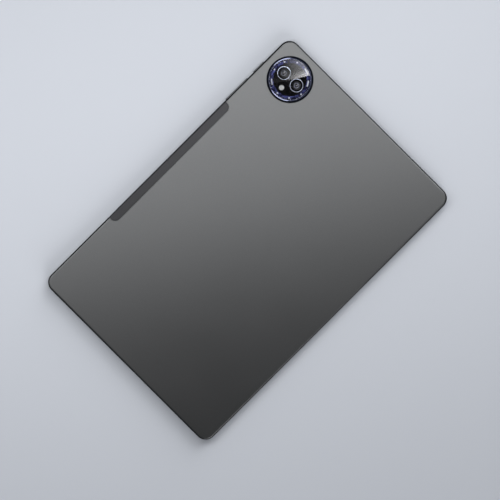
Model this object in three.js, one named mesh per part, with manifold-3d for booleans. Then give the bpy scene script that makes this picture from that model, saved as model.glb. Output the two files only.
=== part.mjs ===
// A tablet computer with a metal back, as it comes apart on a bench.
// It lies on its screen: +X runs along the long edge to the camera end, +Y points to the long edge
// with the keys and the aerial window, and +Z points out of the back. The origin is the middle of
// the screen glass's outer face. All sizes are in millimetres.

import * as THREE from "three";
import { mergeVertices } from "three/addons/utils/BufferGeometryUtils.js";
import Module from "manifold-3d";

const wasm = await Module();
wasm.setup();

// ---- Driving dimensions ----

const LENGTH = 256; // the whole body along X
const WIDTH = 168.6; // the whole body along Y
const THICKNESS = 7.6; // from the glass face to the back face
const CORNER = 8.1; // corner radius seen from behind
const BACK_EDGE = 1.6; // rounding between the back and the sides
const BACK_WALL = 0.8;
const SIDE_WALL = 1.2;
const GAP = 0.3; // between fixed neighbours
const SEAM = 0.2; // the fine line round a trim piece

// Levels above the glass face, lowest and highest, of each layer of the stack.
const GLASS_Z = [0, 0.7];
const BEZEL_Z = [0.25, 1.2];
const COVER_Z = [1.3, THICKNESS];
const PANEL_Z = [0.8, 1.6];
const BACKLIGHT_Z = [1.7, 2.5];
const PLATE_Z = [2.6, 3.0];
const BOARD_Z = [3.2, 4.0];
const CELL_Z = [3.2, 6.6];
const ON_BOARD = BOARD_Z[1] + 0.1; // the foot of what is soldered to the board
const CABLE_Z = [4.3, 4.5];
const EDGE_Z = 4.4; // mid-height of the keys, the port and the tray

const WALL_X = LENGTH / 2 - SIDE_WALL; // inner face of the short walls
const WALL_Y = WIDTH / 2 - SIDE_WALL; // inner face of the long walls

const GLASS = [254, 166.6];
const ACTIVE = [239, 151]; // the picture's layers, a little larger than the visible picture

const WINDOW = { low: -60.2, high: 60.9, inner: 77.4, corner: 4.7 }; // the aerial window on the +Y edge

const CAMERA = { x: 105.7, y: 61.5, outer: 17.3, neck: 15.4, glass: 15.1, bore: 14.3 };
const RING_Z = { foot: 6.5, seat: 8.0, top: 8.9 };
const LENS_Y = 6.5; // each lens's distance from the camera disc's middle
const LENS_X = 0.3;
const TRIM = { inner: 3.4, outer: 5.0, foot: 6.5, top: 7.95 }; // the bright ring round a lens
const BARREL = { radius: 2.9, foot: 4.3, top: 6.9 };
const FLASH = { x: -8.6, y: 0.2, radius: 1.85 };

const POWER = { x: 96.0, length: 10.8 };
const VOLUME = { x: 73.1, length: 22.4 };
const KEY_HEIGHT = 2.4;
const KEY_PROUD = 0.7; // how far a key stands out of the side

const TRAY = { y: -30, plate: 16.4, width: 13.2, rear: 98.5, z: [4.4, 5.2] };
const POCKETS = [
  { x: [100, 111.2], half: 5.8 },
  { x: [112.6, 124.6], half: 4.6 },
];
const EJECT_Y = TRAY.y + 7.2; // the eject rod's line beside the tray
const LEVER = { x: 94.6, y: -27, z: [4.4, 5.1] };

const PORT = { length: 8.94, height: 3.16, wall: 0.3, rear: 120 };
const MIC_Y = 12;

const SPEAKER = { depth: 11.8, length: 22, z: [3.2, 6.3] };
const SPEAKERS = {
  speaker_right_upper: { side: 1, y: 30 },
  speaker_right_lower: { side: 1, y: -62 },
  speaker_left_upper: { side: -1, y: 55 },
  speaker_left_lower: { side: -1, y: -55 },
};
const GRILLE = { holes: 8, pitch: 2.2, radius: 0.6 };

const BOARD = { low: 60, high: 119.4, step: 113.5, bottom: -46, shoulder: 16, top: 40 };
const SCREWS = [
  [67.5, 37],
  [109.5, 37.2],
  [63, -43.2],
  [112, -43.2],
  [63, 3],
  [96, -18.5],
];

const FINE = 10; // steps in a quarter turn of a visible corner
const COARSE = 4; // the same for a hidden one

// ---- Finishes ----

function finish(color, roughness, metalness) {
  return new THREE.MeshStandardMaterial({ color, roughness, metalness });
}

const FINISHES = {
  anodised_grey: finish(0x6a6b6c, 0.42, 0.9),
  aerial_plastic: finish(0x48494c, 0.55, 0),
  bezel_plastic: finish(0x101113, 0.6, 0),
  screen_glass: finish(0x08090b, 0.06, 0),
  panel: finish(0x15171c, 0.4, 0),
  backlight: finish(0xdfe2e4, 0.5, 0),
  plate_metal: finish(0x8d9194, 0.5, 0.9),
  cell_foil: finish(0x2b2d31, 0.5, 0.2),
  board_green: finish(0x1d4a36, 0.6, 0),
  can_steel: finish(0xa9adb0, 0.35, 0.9),
  contact_steel: finish(0xb4b7ba, 0.3, 0.9),
  tongue_plastic: finish(0x16171a, 0.55, 0),
  flex_amber: finish(0xa0641e, 0.5, 0),
  camera_ring: finish(0x1b2130, 0.28, 0.9),
  camera_glass: finish(0x0c0f16, 0.04, 0),
  camera_plate: finish(0x1a2038, 0.5, 0),
  lens_trim: finish(0x7d8894, 0.2, 0.9),
  lens_black: finish(0x09090b, 0.25, 0),
  module_black: finish(0x1a1b1d, 0.6, 0),
  flash_yellow: finish(0xd8c46a, 0.5, 0),
  flash_lens: finish(0xeff1f2, 0.3, 0),
  speaker_plastic: finish(0x222427, 0.65, 0),
  aerial_foil: finish(0xb98a4a, 0.4, 0.9),
};

// ---- Solids ----

// A closed geometry as a manifold-3d solid.
function solid(geometry) {
  const bare = geometry.clone();
  bare.deleteAttribute("normal");
  bare.deleteAttribute("uv");
  const merged = mergeVertices(bare, 1e-4);
  return new wasm.Manifold(
    new wasm.Mesh({
      numProp: 3,
      vertProperties: merged.attributes.position.array,
      triVerts: new Uint32Array(merged.index.array),
    }),
  );
}

function geometryOf(made) {
  const { vertProperties, triVerts } = made.getMesh();
  const geometry = new THREE.BufferGeometry();
  geometry.setAttribute("position", new THREE.BufferAttribute(vertProperties, 3));
  geometry.setIndex(new THREE.BufferAttribute(triVerts, 1));
  geometry.computeVertexNormals();
  return geometry;
}

// The first geometry without the others.
function cut(body, ...tools) {
  return geometryOf(tools.reduce((left, tool) => left.subtract(solid(tool)), solid(body)));
}

function join(...pieces) {
  return geometryOf(pieces.slice(1).reduce((whole, piece) => whole.add(solid(piece)), solid(pieces[0])));
}

function common(first, second) {
  return geometryOf(solid(first).intersect(solid(second)));
}

// ---- Outlines and simple bodies ----

// A rectangle with round corners, centred on (x, y).
function roundedRectangle(width, height, radius, x = 0, y = 0) {
  const shape = new THREE.Shape();
  const right = width / 2 - radius;
  const top = height / 2 - radius;
  shape.absarc(x + right, y - top, radius, -Math.PI / 2, 0);
  shape.absarc(x + right, y + top, radius, 0, Math.PI / 2);
  shape.absarc(x - right, y + top, radius, Math.PI / 2, Math.PI);
  shape.absarc(x - right, y - top, radius, Math.PI, 1.5 * Math.PI);
  shape.closePath();
  return shape;
}

// The outline stood up between two levels.
function slab(shape, [low, high], curveSegments = COARSE) {
  const depth = high - low;
  return new THREE.ExtrudeGeometry(shape, { depth, bevelEnabled: false, curveSegments }).translate(0, 0, low);
}

// A slab with round corners whose top and bottom rims are rounded too.
function cushion([width, height], radius, [low, high], rim, rimSteps, curveSegments, x = 0, y = 0) {
  const shape = roundedRectangle(width - 2 * rim, height - 2 * rim, radius - rim, x, y);
  return new THREE.ExtrudeGeometry(shape, {
    depth: high - low - 2 * rim,
    bevelThickness: rim,
    bevelSize: rim,
    bevelSegments: rimSteps,
    curveSegments,
  }).translate(0, 0, low + rim);
}

function block([x0, x1], [y0, y1], [z0, z1]) {
  const box = new THREE.BoxGeometry(x1 - x0, y1 - y0, z1 - z0);
  return box.translate((x0 + x1) / 2, (y0 + y1) / 2, (z0 + z1) / 2);
}

function post(radius, x, y, [low, high], sides = 12) {
  const cylinder = new THREE.CylinderGeometry(radius, radius, high - low, sides).rotateX(Math.PI / 2);
  return cylinder.translate(x, y, (low + high) / 2);
}

// A cylinder along X, such as a hole through a short wall.
function drill(radius, y, z, [near, far], sides = 8) {
  const cylinder = new THREE.CylinderGeometry(radius, radius, far - near, sides).rotateZ(Math.PI / 2);
  return cylinder.translate((near + far) / 2, y, z);
}

// A round body from its half section: [radius, height] points, counterclockwise.
function turned(profile, sides, x = 0, y = 0) {
  const points = profile.map(([radius, height]) => new THREE.Vector2(radius, height));
  return new THREE.LatheGeometry(points, sides).rotateX(Math.PI / 2).translate(x, y, 0);
}

function roundEnded(length, height) {
  const sliver = 0.001; // keeps the two round ends of the outline apart
  return roundedRectangle(length, height, height / 2 - sliver);
}

// A bar with round ends, length by height, that runs through a short wall at the given y and level.
function slotInShortWall(length, height, y, z, [near, far], steps = COARSE) {
  const bar = slab(roundEnded(length, height), [0, far - near], steps);
  return bar.rotateX(Math.PI / 2).rotateZ(Math.PI / 2).translate(near, y, z);
}

// The same through the +Y wall.
function slotInLongWall(length, height, x, z, [near, far], steps = COARSE) {
  const bar = slab(roundEnded(length, height), [0, far - near], steps);
  return bar.rotateX(Math.PI / 2).translate(x, far, z);
}

function part(name, geometry, finishName) {
  const mesh = new THREE.Mesh(geometry, FINISHES[finishName]);
  mesh.name = name;
  return mesh;
}

function assembly(...children) {
  const group = new THREE.Group();
  group.add(...children);
  return group;
}

// ---- Housing: the metal cover, the aerial window, the bezel and the screen glass ----

// The outside of the cover with its round back rim and a flat foot.
function coverBlank() {
  const tall = [COVER_Z[0] - 2 * BACK_EDGE, THICKNESS];
  const rounded = cushion([LENGTH, WIDTH], CORNER, tall, BACK_EDGE, 3, FINE);
  const below = block([-LENGTH, LENGTH], [-WIDTH, WIDTH], [tall[0] - 1, COVER_Z[0]]);
  return cut(rounded, below);
}

function coverCavity() {
  const inside = roundedRectangle(2 * WALL_X, 2 * WALL_Y, CORNER - SIDE_WALL);
  return slab(inside, [0, THICKNESS - BACK_WALL], FINE);
}

// The column that the aerial window takes out of the cover, larger by `margin` all round.
function windowColumn(margin) {
  const beyond = 20;
  const width = WINDOW.high - WINDOW.low + 2 * margin;
  const inner = WINDOW.inner - margin;
  const middle = (WINDOW.low + WINDOW.high) / 2;
  const shape = roundedRectangle(width, beyond, WINDOW.corner, middle, inner + beyond / 2);
  return slab(shape, [-1, THICKNESS + 1], 6);
}

// The row of small holes in front of one speaker.
function grille({ side, y }) {
  const through = side > 0 ? [WALL_X - 1, LENGTH / 2 + 1] : [-LENGTH / 2 - 1, 1 - WALL_X];
  return Array.from({ length: GRILLE.holes }, (_, i) => {
    const offset = (i - (GRILLE.holes - 1) / 2) * GRILLE.pitch;
    return drill(GRILLE.radius, y + offset, EDGE_Z, through);
  });
}

function rearCover() {
  const throughShort = [WALL_X - 1, LENGTH / 2 + 1];
  const throughLong = [WALL_Y - 1, WIDTH / 2 + 1];
  const play = 2 * SEAM;
  return part(
    "rear_cover",
    cut(
      coverBlank(),
      coverCavity(),
      windowColumn(0),
      post(CAMERA.neck + GAP, CAMERA.x, CAMERA.y, [THICKNESS - 2, THICKNESS + 1], 48),
      slotInLongWall(POWER.length + play, KEY_HEIGHT + play, POWER.x, EDGE_Z, throughLong),
      slotInLongWall(VOLUME.length + play, KEY_HEIGHT + play, VOLUME.x, EDGE_Z, throughLong),
      slotInShortWall(PORT.length + play, PORT.height + play, 0, EDGE_Z, throughShort, 6),
      slotInShortWall(TRAY.plate + play, KEY_HEIGHT + play, TRAY.y, EDGE_Z, throughShort),
      drill(0.5, MIC_Y, EDGE_Z, throughShort),
      ...Object.values(SPEAKERS).flatMap(grille),
    ),
    "anodised_grey",
  );
}

function antennaWindow() {
  const strip = common(coverBlank(), windowColumn(-SEAM));
  return part("antenna_window", cut(strip, coverCavity()), "aerial_plastic");
}

// An L-shaped ring: a thin wall round the glass and a ledge that the glass is bonded to.
function frontBezel() {
  const outline = slab(roundedRectangle(LENGTH - 0.6, WIDTH - 0.6, CORNER - 0.3), BEZEL_Z, FINE);
  const glassRoom = roundedRectangle(GLASS[0] + 2 * SEAM, GLASS[1] + 2 * SEAM, CORNER - 0.8);
  const opening = roundedRectangle(LENGTH - 8, WIDTH - 8, CORNER - 4);
  return part(
    "front_bezel",
    cut(outline, slab(glassRoom, [-1, GLASS_Z[1] + 0.1], FINE), slab(opening, [-1, 2], COARSE)),
    "bezel_plastic",
  );
}

function frontGlass() {
  return part("front_glass", cushion(GLASS, CORNER - 1, GLASS_Z, 0.25, 2, FINE), "screen_glass");
}

// ---- Display: the panel, its backlight and the plate that stiffens the whole ----

function displayPanel() {
  return part("display_panel", slab(roundedRectangle(...ACTIVE, 2), PANEL_Z), "panel");
}

function backlightUnit() {
  return part("backlight_unit", slab(roundedRectangle(...ACTIVE, 2), BACKLIGHT_Z), "backlight");
}

const FRONT_CAMERA = { y: 77.9, width: 5, depth: 4.4, z: [0.9, 4.2] };
const DISPLAY_CABLE = { x: [76, 90], edge: -77.7, end: -44 };

function midFrame() {
  const plate = slab(
    roundedRectangle(2 * (WALL_X - GAP), 2 * (WALL_Y - GAP), CORNER - SIDE_WALL - GAP),
    PLATE_Z,
    FINE,
  );
  const through = [PLATE_Z[0] - 1, PLATE_Z[1] + 1];
  const room = FRONT_CAMERA.width / 2 + GAP;
  const depth = FRONT_CAMERA.depth / 2 + GAP;
  return part(
    "mid_frame",
    cut(
      plate,
      block([PORT.rear - 0.5, LENGTH / 2], [-PORT.length / 2 - 0.7, PORT.length / 2 + 0.7], through),
      block([-room, room], [FRONT_CAMERA.y - depth, FRONT_CAMERA.y + depth], through),
      block([DISPLAY_CABLE.x[0] - 1, DISPLAY_CABLE.x[1] + 1], [-WIDTH / 2, DISPLAY_CABLE.edge + 1], through),
      ...SCREWS.map(([x, y]) => post(1.1, x, y, through, 8)),
    ),
    "plate_metal",
  );
}

// A ribbon that leaves the panel's edge, turns round the plate and ends on the board.
function displayCable() {
  const thick = CABLE_Z[1] - CABLE_Z[0];
  const { x, edge, end } = DISPLAY_CABLE;
  const panelEdge = -ACTIVE[1] / 2 - SEAM;
  const low = PANEL_Z[0] + 0.3;
  return part(
    "display_cable",
    join(
      block(x, [edge, panelEdge], [low, low + thick]),
      block(x, [edge, edge + thick], [low, CABLE_Z[1]]),
      block(x, [edge, end], CABLE_Z),
    ),
    "flex_amber",
  );
}

function frontCamera() {
  const { y, width, depth, z } = FRONT_CAMERA;
  const housing = block([-width / 2, width / 2], [y - depth / 2, y + depth / 2], [z[0] + 1, z[1]]);
  return part("front_camera", join(housing, post(1.9, 0, y, [z[0], z[0] + 1.2], 16)), "module_black");
}

// ---- Battery: two pouch cells side by side with their protection board ----

const CELLS = {
  battery_cell_left: { low: -95, high: -22 },
  battery_cell_right: { low: -20, high: 53 },
};
const CELL_WIDTH = 116;

function batteryCells() {
  return Object.entries(CELLS).map(([name, { low, high }]) =>
    part(
      name,
      cushion([high - low, CELL_WIDTH], 2.5, CELL_Z, 0.8, 2, COARSE, (low + high) / 2),
      "cell_foil",
    ),
  );
}

// A narrow board along the cells' edge with four raised tabs.
function batteryBoard() {
  const strip = block([-90, 50], [59, 63.5], [3.3, 4]);
  const tabs = [-75, -42, 0, 33].map((x) => block([x, x + 8], [60, 62.5], [3.9, 5]));
  return part("battery_board", join(strip, ...tabs), "board_green");
}

// A ribbon over the battery board that turns the corner and drops a plug on the main board.
function batteryCable() {
  const level = [5.2, 5.4];
  const across = block([45, 65], [59.5, 63], level);
  const down = block([61, 65], [34, 63], level);
  const plug = block([61.5, 64.5], [34.5, 38], [ON_BOARD, 5.3]);
  return part("battery_cable", join(across, down, plug), "flex_amber");
}

// ---- Main board: the board with its chips, the cans over them, the port, the card reader ----

const CHIPS = [
  [75, 89, -11, 3, 1.1],
  [73, 84, 14, 24, 0.9],
  [69, 77, -40, -32, 0.8],
  [79, 86, -30, -24, 0.8],
  [101, 109, 18, 28, 0.8],
];
const CANS = {
  processor_shield: { x: [70, 94], y: [-16, 8] },
  memory_shield: { x: [70, 88], y: [11.5, 26.5] },
  power_shield: { x: [66.5, 88.5], y: [-42.5, -21] },
  radio_shield: { x: [98, 112.5], y: [15, 33] },
};
const CAN_HEIGHT = 1.6;

function boardOutline() {
  const shape = new THREE.Shape();
  shape.moveTo(BOARD.low, BOARD.bottom);
  shape.lineTo(BOARD.high, BOARD.bottom);
  shape.lineTo(BOARD.high, BOARD.shoulder);
  shape.lineTo(BOARD.step, BOARD.shoulder);
  shape.lineTo(BOARD.step, BOARD.top);
  shape.lineTo(BOARD.low, BOARD.top);
  shape.closePath();
  return shape;
}

function mainBoard() {
  const chips = CHIPS.map(([x0, x1, y0, y1, height]) =>
    block([x0, x1], [y0, y1], [BOARD_Z[1] - 0.1, BOARD_Z[1] + height]),
  );
  const holes = SCREWS.map(([x, y]) => post(1.1, x, y, [BOARD_Z[0] - 1, BOARD_Z[1] + 1], 8));
  return part("main_board", cut(join(slab(boardOutline(), BOARD_Z), ...chips), ...holes), "board_green");
}

function cans() {
  const wall = 0.25;
  return Object.entries(CANS).map(([name, { x, y }]) => {
    const outside = block(x, y, [ON_BOARD, ON_BOARD + CAN_HEIGHT]);
    const inside = block(
      [x[0] + wall, x[1] - wall],
      [y[0] + wall, y[1] - wall],
      [ON_BOARD - 1, ON_BOARD + CAN_HEIGHT - wall],
    );
    return part(name, cut(outside, inside), "can_steel");
  });
}

function boardScrews() {
  const head = [ON_BOARD, ON_BOARD + 0.6];
  const shank = [PLATE_Z[0] + 0.05, ON_BOARD + 0.1];
  return SCREWS.map(([x, y], i) => {
    const whole = join(post(1.5, x, y, head, 12), post(0.8, x, y, shank, 8));
    const slot = block([x - 1, x + 1], [y - 0.15, y + 0.15], [head[1] - 0.25, head[1] + 1]);
    return part("board_screw_" + (i + 1), cut(whole, slot), "contact_steel");
  });
}

function usbPort() {
  const inner = { length: PORT.length - 2 * PORT.wall, height: PORT.height - 2 * PORT.wall };
  const shellX = [PORT.rear, LENGTH / 2 - 0.4];
  const shell = cut(
    slotInShortWall(PORT.length, PORT.height, 0, EDGE_Z, shellX, 6),
    slotInShortWall(inner.length, inner.height, 0, EDGE_Z, [shellX[0] - 1, shellX[1] + 1], 6),
  );
  const rearPlug = slotInShortWall(inner.length - 0.2, inner.height - 0.2, 0, EDGE_Z,
    [PORT.rear + 0.1, PORT.rear + 1.6], 6);
  const tongue = block([PORT.rear + 1.5, LENGTH / 2 - 1], [-3.35, 3.35], [EDGE_Z - 0.35, EDGE_Z + 0.35]);
  return [
    part("usb_port_shell", shell, "contact_steel"),
    part("usb_port_tongue", join(rearPlug, tongue), "tongue_plastic"),
  ];
}

function microphone() {
  const base = block([115.4, 119], [MIC_Y - 1.5, MIC_Y + 1.5], [ON_BOARD, ON_BOARD + 1.1]);
  return part("microphone", base, "can_steel");
}

// ---- Card reader: a sleeve on the board, the tray that pulls out of the side, its eject parts ----

const SOCKET = { x: [98, 120.5], y: [-37.4, -21.6], z: [ON_BOARD, 5.6] };

function cardSocket() {
  const { x, y, z } = SOCKET;
  const outside = block(x, y, z);
  const tunnel = block([x[0] - 1, x[1] + 1], [y[0] + 0.5, y[1] - 0.5], [z[0] + 0.15, z[1] - 0.25]);
  return part("card_socket", cut(outside, tunnel), "can_steel");
}

// The face plate and the carrier behind it, with a pocket for each card.
function cardTray() {
  const plateX = [WALL_X + 0.1, LENGTH / 2];
  const half = TRAY.width / 2;
  const plate = slotInShortWall(TRAY.plate, KEY_HEIGHT, TRAY.y, EDGE_Z, plateX);
  const carrier = block([TRAY.rear, plateX[0] + 0.2], [TRAY.y - half, TRAY.y + half], TRAY.z);
  const pocketZ = [TRAY.z[0] + 0.2, TRAY.z[1] + 1];
  const pinhole = drill(0.45, EJECT_Y - 0.1, EDGE_Z + 0.1, [plateX[0] - 1, plateX[1] + 1]);
  return part(
    "card_tray",
    cut(
      join(plate, carrier),
      ...POCKETS.map(({ x, half: room }) => block(x, [TRAY.y - room, TRAY.y + room], pocketZ)),
      pinhole,
    ),
    "anodised_grey",
  );
}

function ejectParts() {
  const rod = block([LEVER.x + 0.8, WALL_X - GAP], [EJECT_Y - 0.35, EJECT_Y + 0.45], [4.35, 5.05]);
  const bar = block([LEVER.x - 0.6, LEVER.x + 0.6], [LEVER.y - 6, LEVER.y + 5.2], LEVER.z);
  const eye = post(1.4, LEVER.x, LEVER.y, LEVER.z, 16);
  const hole = post(0.75, LEVER.x, LEVER.y, [LEVER.z[0] - 1, LEVER.z[1] + 1], 12);
  return [
    part("eject_rod", rod, "contact_steel"),
    part("eject_lever", cut(join(bar, eye), hole), "contact_steel"),
    part("eject_pivot", post(0.6, LEVER.x, LEVER.y, [ON_BOARD, LEVER.z[1] + 0.3], 12), "contact_steel"),
  ];
}

// ---- Rear camera: the ring, its glass and printed plate, two lenses, the flash and their holder ----

function cameraRing() {
  const { outer, neck, bore, glass, x, y } = CAMERA;
  const { foot, seat, top } = RING_Z;
  const lip = THICKNESS + 0.1;
  const profile = [
    [bore, foot],
    [neck, foot],
    [neck, lip],
    [outer, lip],
    [outer, top - 0.45],
    [outer - 0.15, top - 0.12],
    [outer - 0.5, top],
    [glass + 0.8, top],
    [glass + SEAM, top - 0.25],
    [glass + SEAM, seat],
    [bore, seat],
    [bore, foot],
  ];
  return part("camera_ring", turned(profile, 64, x, y), "camera_ring");
}

function cameraGlass() {
  const { glass, x, y } = CAMERA;
  const profile = [
    [0, 8.1],
    [glass, 8.1],
    [glass, 8.6],
    [glass - 0.1, 8.7],
    [0, 8.7],
  ];
  return part("camera_glass", turned(profile, 64, x, y), "camera_glass");
}

function cameraPlate() {
  const { bore, x, y } = CAMERA;
  const through = [6, 9];
  return part(
    "camera_plate",
    cut(
      post(bore - GAP, x, y, [7.2, 7.8], 48),
      post(TRIM.outer + SEAM, x + LENS_X, y + LENS_Y, through, 32),
      post(TRIM.outer + SEAM, x + LENS_X, y - LENS_Y, through, 32),
      post(FLASH.radius + SEAM, x + FLASH.x, y + FLASH.y, through, 16),
    ),
    "camera_plate",
  );
}

// The bright ring round one lens, sloping inwards like a funnel.
function lensTrim(name, side) {
  const { inner, outer, foot, top } = TRIM;
  const profile = [
    [inner, foot],
    [outer, foot],
    [outer, top - 0.1],
    [outer - 0.2, top],
    [outer - 0.6, top],
    [inner, top - 0.75],
    [inner, foot],
  ];
  return part(name, turned(profile, 32, CAMERA.x + LENS_X, CAMERA.y + side * LENS_Y), "lens_trim");
}

const HOUSING_HALF = 4.3;

function cameraHousing(name, side) {
  const x = CAMERA.x + LENS_X;
  const y = CAMERA.y + side * LENS_Y;
  const square = [x - HOUSING_HALF, x + HOUSING_HALF];
  const body = block(square, [y - HOUSING_HALF, y + HOUSING_HALF], [3.2, 6.3]);
  return part(name, cut(body, post(3.1, x, y, [4.1, 7], 24)), "module_black");
}

// A lens barrel with a sunk front and a domed front element.
function lensBarrel(name, side) {
  const { radius, foot, top } = BARREL;
  const profile = [
    [0, foot],
    [radius, foot],
    [radius, top],
    [radius - 0.3, top],
    [1.9, 6.5],
    [1.3, 6.62],
    [0.7, 6.69],
    [0, 6.72],
  ];
  return part(name, turned(profile, 24, CAMERA.x + LENS_X, CAMERA.y + side * LENS_Y), "lens_black");
}

function cameraBracket() {
  const { x, y } = CAMERA;
  const plateZ = [5.4, 6.0];
  const window = HOUSING_HALF + GAP;
  const plate = slab(roundedRectangle(20, 25, 1.5, x - 2, y), plateZ);
  const legs = [-10, 6.5].flatMap((dx) =>
    [-10.5, 10.5].map((dy) => post(1, x + dx, y + dy, [3.2, plateZ[0] + 0.1], 10)),
  );
  const openings = [-1, 1].map((side) =>
    block(
      [x + LENS_X - window, x + LENS_X + window],
      [y + side * LENS_Y - window, y + side * LENS_Y + window],
      [5, 7],
    ),
  );
  return part("camera_bracket", cut(join(plate, ...legs), ...openings), "plate_metal");
}

function flash() {
  const x = CAMERA.x + FLASH.x;
  const y = CAMERA.y + FLASH.y;
  const led = block([x - 1.3, x + 1.3], [y - 1.3, y + 1.3], [6.1, 6.7]);
  const diffuser = post(FLASH.radius, x, y, [6.9, 7.95], 20);
  return [part("flash_led", led, "flash_yellow"), part("flash_diffuser", diffuser, "flash_lens")];
}

function cameraCable() {
  return part("camera_cable", block([101, 107], [35, 50.4], CABLE_Z), "flex_amber");
}

// ---- Keys: two keys in slots of the +Y wall, their switches, bracket and ribbon ----

const SWITCH_FRONT = 81.6;
const PAD_HALF = 0.6; // half a square pad's side

// The key's head through the wall, a wider flange behind it and the pads that reach the switches.
function key(length, x, flangeY, padOffsets) {
  const head = slotInLongWall(length, KEY_HEIGHT, x, EDGE_Z, [flangeY[1] - 0.1, WIDTH / 2 + KEY_PROUD], 5);
  const flange = block(
    [x - length / 2 - 0.5, x + length / 2 + 0.5],
    flangeY,
    [EDGE_Z - KEY_HEIGHT / 2 - 0.1, EDGE_Z + KEY_HEIGHT / 2 + 0.3],
  );
  const padY = [flangeY[0] - 0.25, flangeY[0] + 0.1];
  const padZ = [EDGE_Z - PAD_HALF, EDGE_Z + PAD_HALF];
  const pads = padOffsets.map((offset) =>
    block([x + offset - PAD_HALF, x + offset + PAD_HALF], padY, padZ),
  );
  return join(head, flange, ...pads);
}

const VOLUME_PADS = [-7, 7];

function keys() {
  return [
    part("power_button", key(POWER.length, POWER.x, [82.4, 82.9], [0]), "anodised_grey"),
    part("volume_button", key(VOLUME.length, VOLUME.x, [82.1, 82.6], VOLUME_PADS), "anodised_grey"),
  ];
}

function tactSwitch(name, x, reach) {
  const body = block([x - 2.1, x + 2.1], [79.7, 81.1], [EDGE_Z - 1.1, EDGE_Z + 1.1]);
  const actuator = block([x - 0.8, x + 0.8], [81, reach], [EDGE_Z - 0.5, EDGE_Z + 0.5]);
  return part(name, join(body, actuator), "contact_steel");
}

function switches() {
  return [
    tactSwitch("power_switch", POWER.x, SWITCH_FRONT + 0.1),
    tactSwitch("volume_down_switch", VOLUME.x + VOLUME_PADS[0], SWITCH_FRONT),
    tactSwitch("volume_up_switch", VOLUME.x + VOLUME_PADS[1], SWITCH_FRONT),
  ];
}

function buttonBracket() {
  const span = [60, 102];
  return part(
    "button_bracket",
    join(block(span, [78.6, 79.1], [3.2, 5.9]), block(span, [76, 79.1], [3.2, 3.6])),
    "plate_metal",
  );
}

// A ribbon on edge behind the switches that turns the corner and runs to the board.
function buttonCable() {
  const height = [4.2, 5.4];
  return part(
    "button_cable",
    join(
      block([57, 99], [79.3, 79.5], height),
      block([57, 57.2], [66, 79.5], height),
      block([57, 67.2], [66, 66.2], height),
      block([67, 67.2], [39.4, 66.2], height),
    ),
    "flex_amber",
  );
}

// ---- Speakers and aerials ----

function speakers() {
  return Object.entries(SPEAKERS).map(([name, { side, y }]) => {
    const outer = side * (WALL_X - 0.4);
    const inner = side * (WALL_X - 0.4 - SPEAKER.depth);
    const span = [Math.min(outer, inner), Math.max(outer, inner)];
    const box = block(span, [y - SPEAKER.length / 2, y + SPEAKER.length / 2], SPEAKER.z);
    const driver = post(4.6, (outer + inner) / 2, y, [SPEAKER.z[1] - 0.1, SPEAKER.z[1] + 0.3], 20);
    return part(name, join(box, driver), "speaker_plastic");
  });
}

// A flat bridge under the aerial window on a foot at each end.
function aerial(name, x) {
  const y = [78.2, 82.6];
  const footLength = 2;
  const bridge = block(x, y, [6.1, 6.5]);
  const feet = [x[0], x[1] - footLength].map((start) => block([start, start + footLength], y, [3.3, 6.2]));
  return part(name, join(bridge, ...feet), "aerial_foil");
}

// ---- The whole tablet ----

const tablet = assembly(
  assembly(rearCover(), antennaWindow(), frontBezel(), frontGlass()),
  assembly(displayPanel(), backlightUnit(), midFrame(), displayCable(), frontCamera()),
  assembly(...batteryCells(), batteryBoard(), batteryCable()),
  assembly(mainBoard(), ...cans(), ...boardScrews(), ...usbPort(), microphone()),
  assembly(cardSocket(), cardTray(), ...ejectParts()),
  assembly(
    cameraRing(),
    cameraGlass(),
    cameraPlate(),
    lensTrim("main_lens_trim", 1),
    lensTrim("second_lens_trim", -1),
    cameraHousing("main_camera_housing", 1),
    cameraHousing("second_camera_housing", -1),
    lensBarrel("main_camera_lens", 1),
    lensBarrel("second_camera_lens", -1),
    cameraBracket(),
    ...flash(),
    cameraCable(),
  ),
  assembly(...keys(), ...switches(), buttonBracket(), buttonCable()),
  assembly(
    ...speakers(),
    aerial("wifi_antenna", [18, 54]),
    aerial("cellular_antenna", [-54, -18]),
  ),
);
tablet.name = "tablet";

export default tablet;
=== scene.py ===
# A tablet computer that lies on its screen, seen from above its metal back.
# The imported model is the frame; every piece below is placed by that model's own boxes, in metres.
import math

import bmesh
import bpy
import numpy as np
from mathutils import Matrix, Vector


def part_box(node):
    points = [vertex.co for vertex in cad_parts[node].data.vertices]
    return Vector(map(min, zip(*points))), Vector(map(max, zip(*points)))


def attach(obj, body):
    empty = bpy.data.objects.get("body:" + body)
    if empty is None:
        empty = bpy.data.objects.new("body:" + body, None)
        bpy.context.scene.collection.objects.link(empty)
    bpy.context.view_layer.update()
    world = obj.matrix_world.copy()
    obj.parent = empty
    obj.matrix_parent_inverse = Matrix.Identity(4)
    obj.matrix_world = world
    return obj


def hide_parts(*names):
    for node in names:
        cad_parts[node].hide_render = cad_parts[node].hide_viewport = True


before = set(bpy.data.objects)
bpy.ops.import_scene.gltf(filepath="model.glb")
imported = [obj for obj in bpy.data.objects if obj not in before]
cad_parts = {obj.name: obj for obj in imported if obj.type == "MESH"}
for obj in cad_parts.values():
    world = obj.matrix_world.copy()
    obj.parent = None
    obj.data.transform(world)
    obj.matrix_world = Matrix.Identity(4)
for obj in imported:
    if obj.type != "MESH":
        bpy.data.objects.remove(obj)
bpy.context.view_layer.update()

# ---- Screen glass ----
# A sheet of toughened glass with a rim ground round, bonded to the bezel's ledge.
# Black ink on its inner face frames the picture.

MM = 0.001


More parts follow.
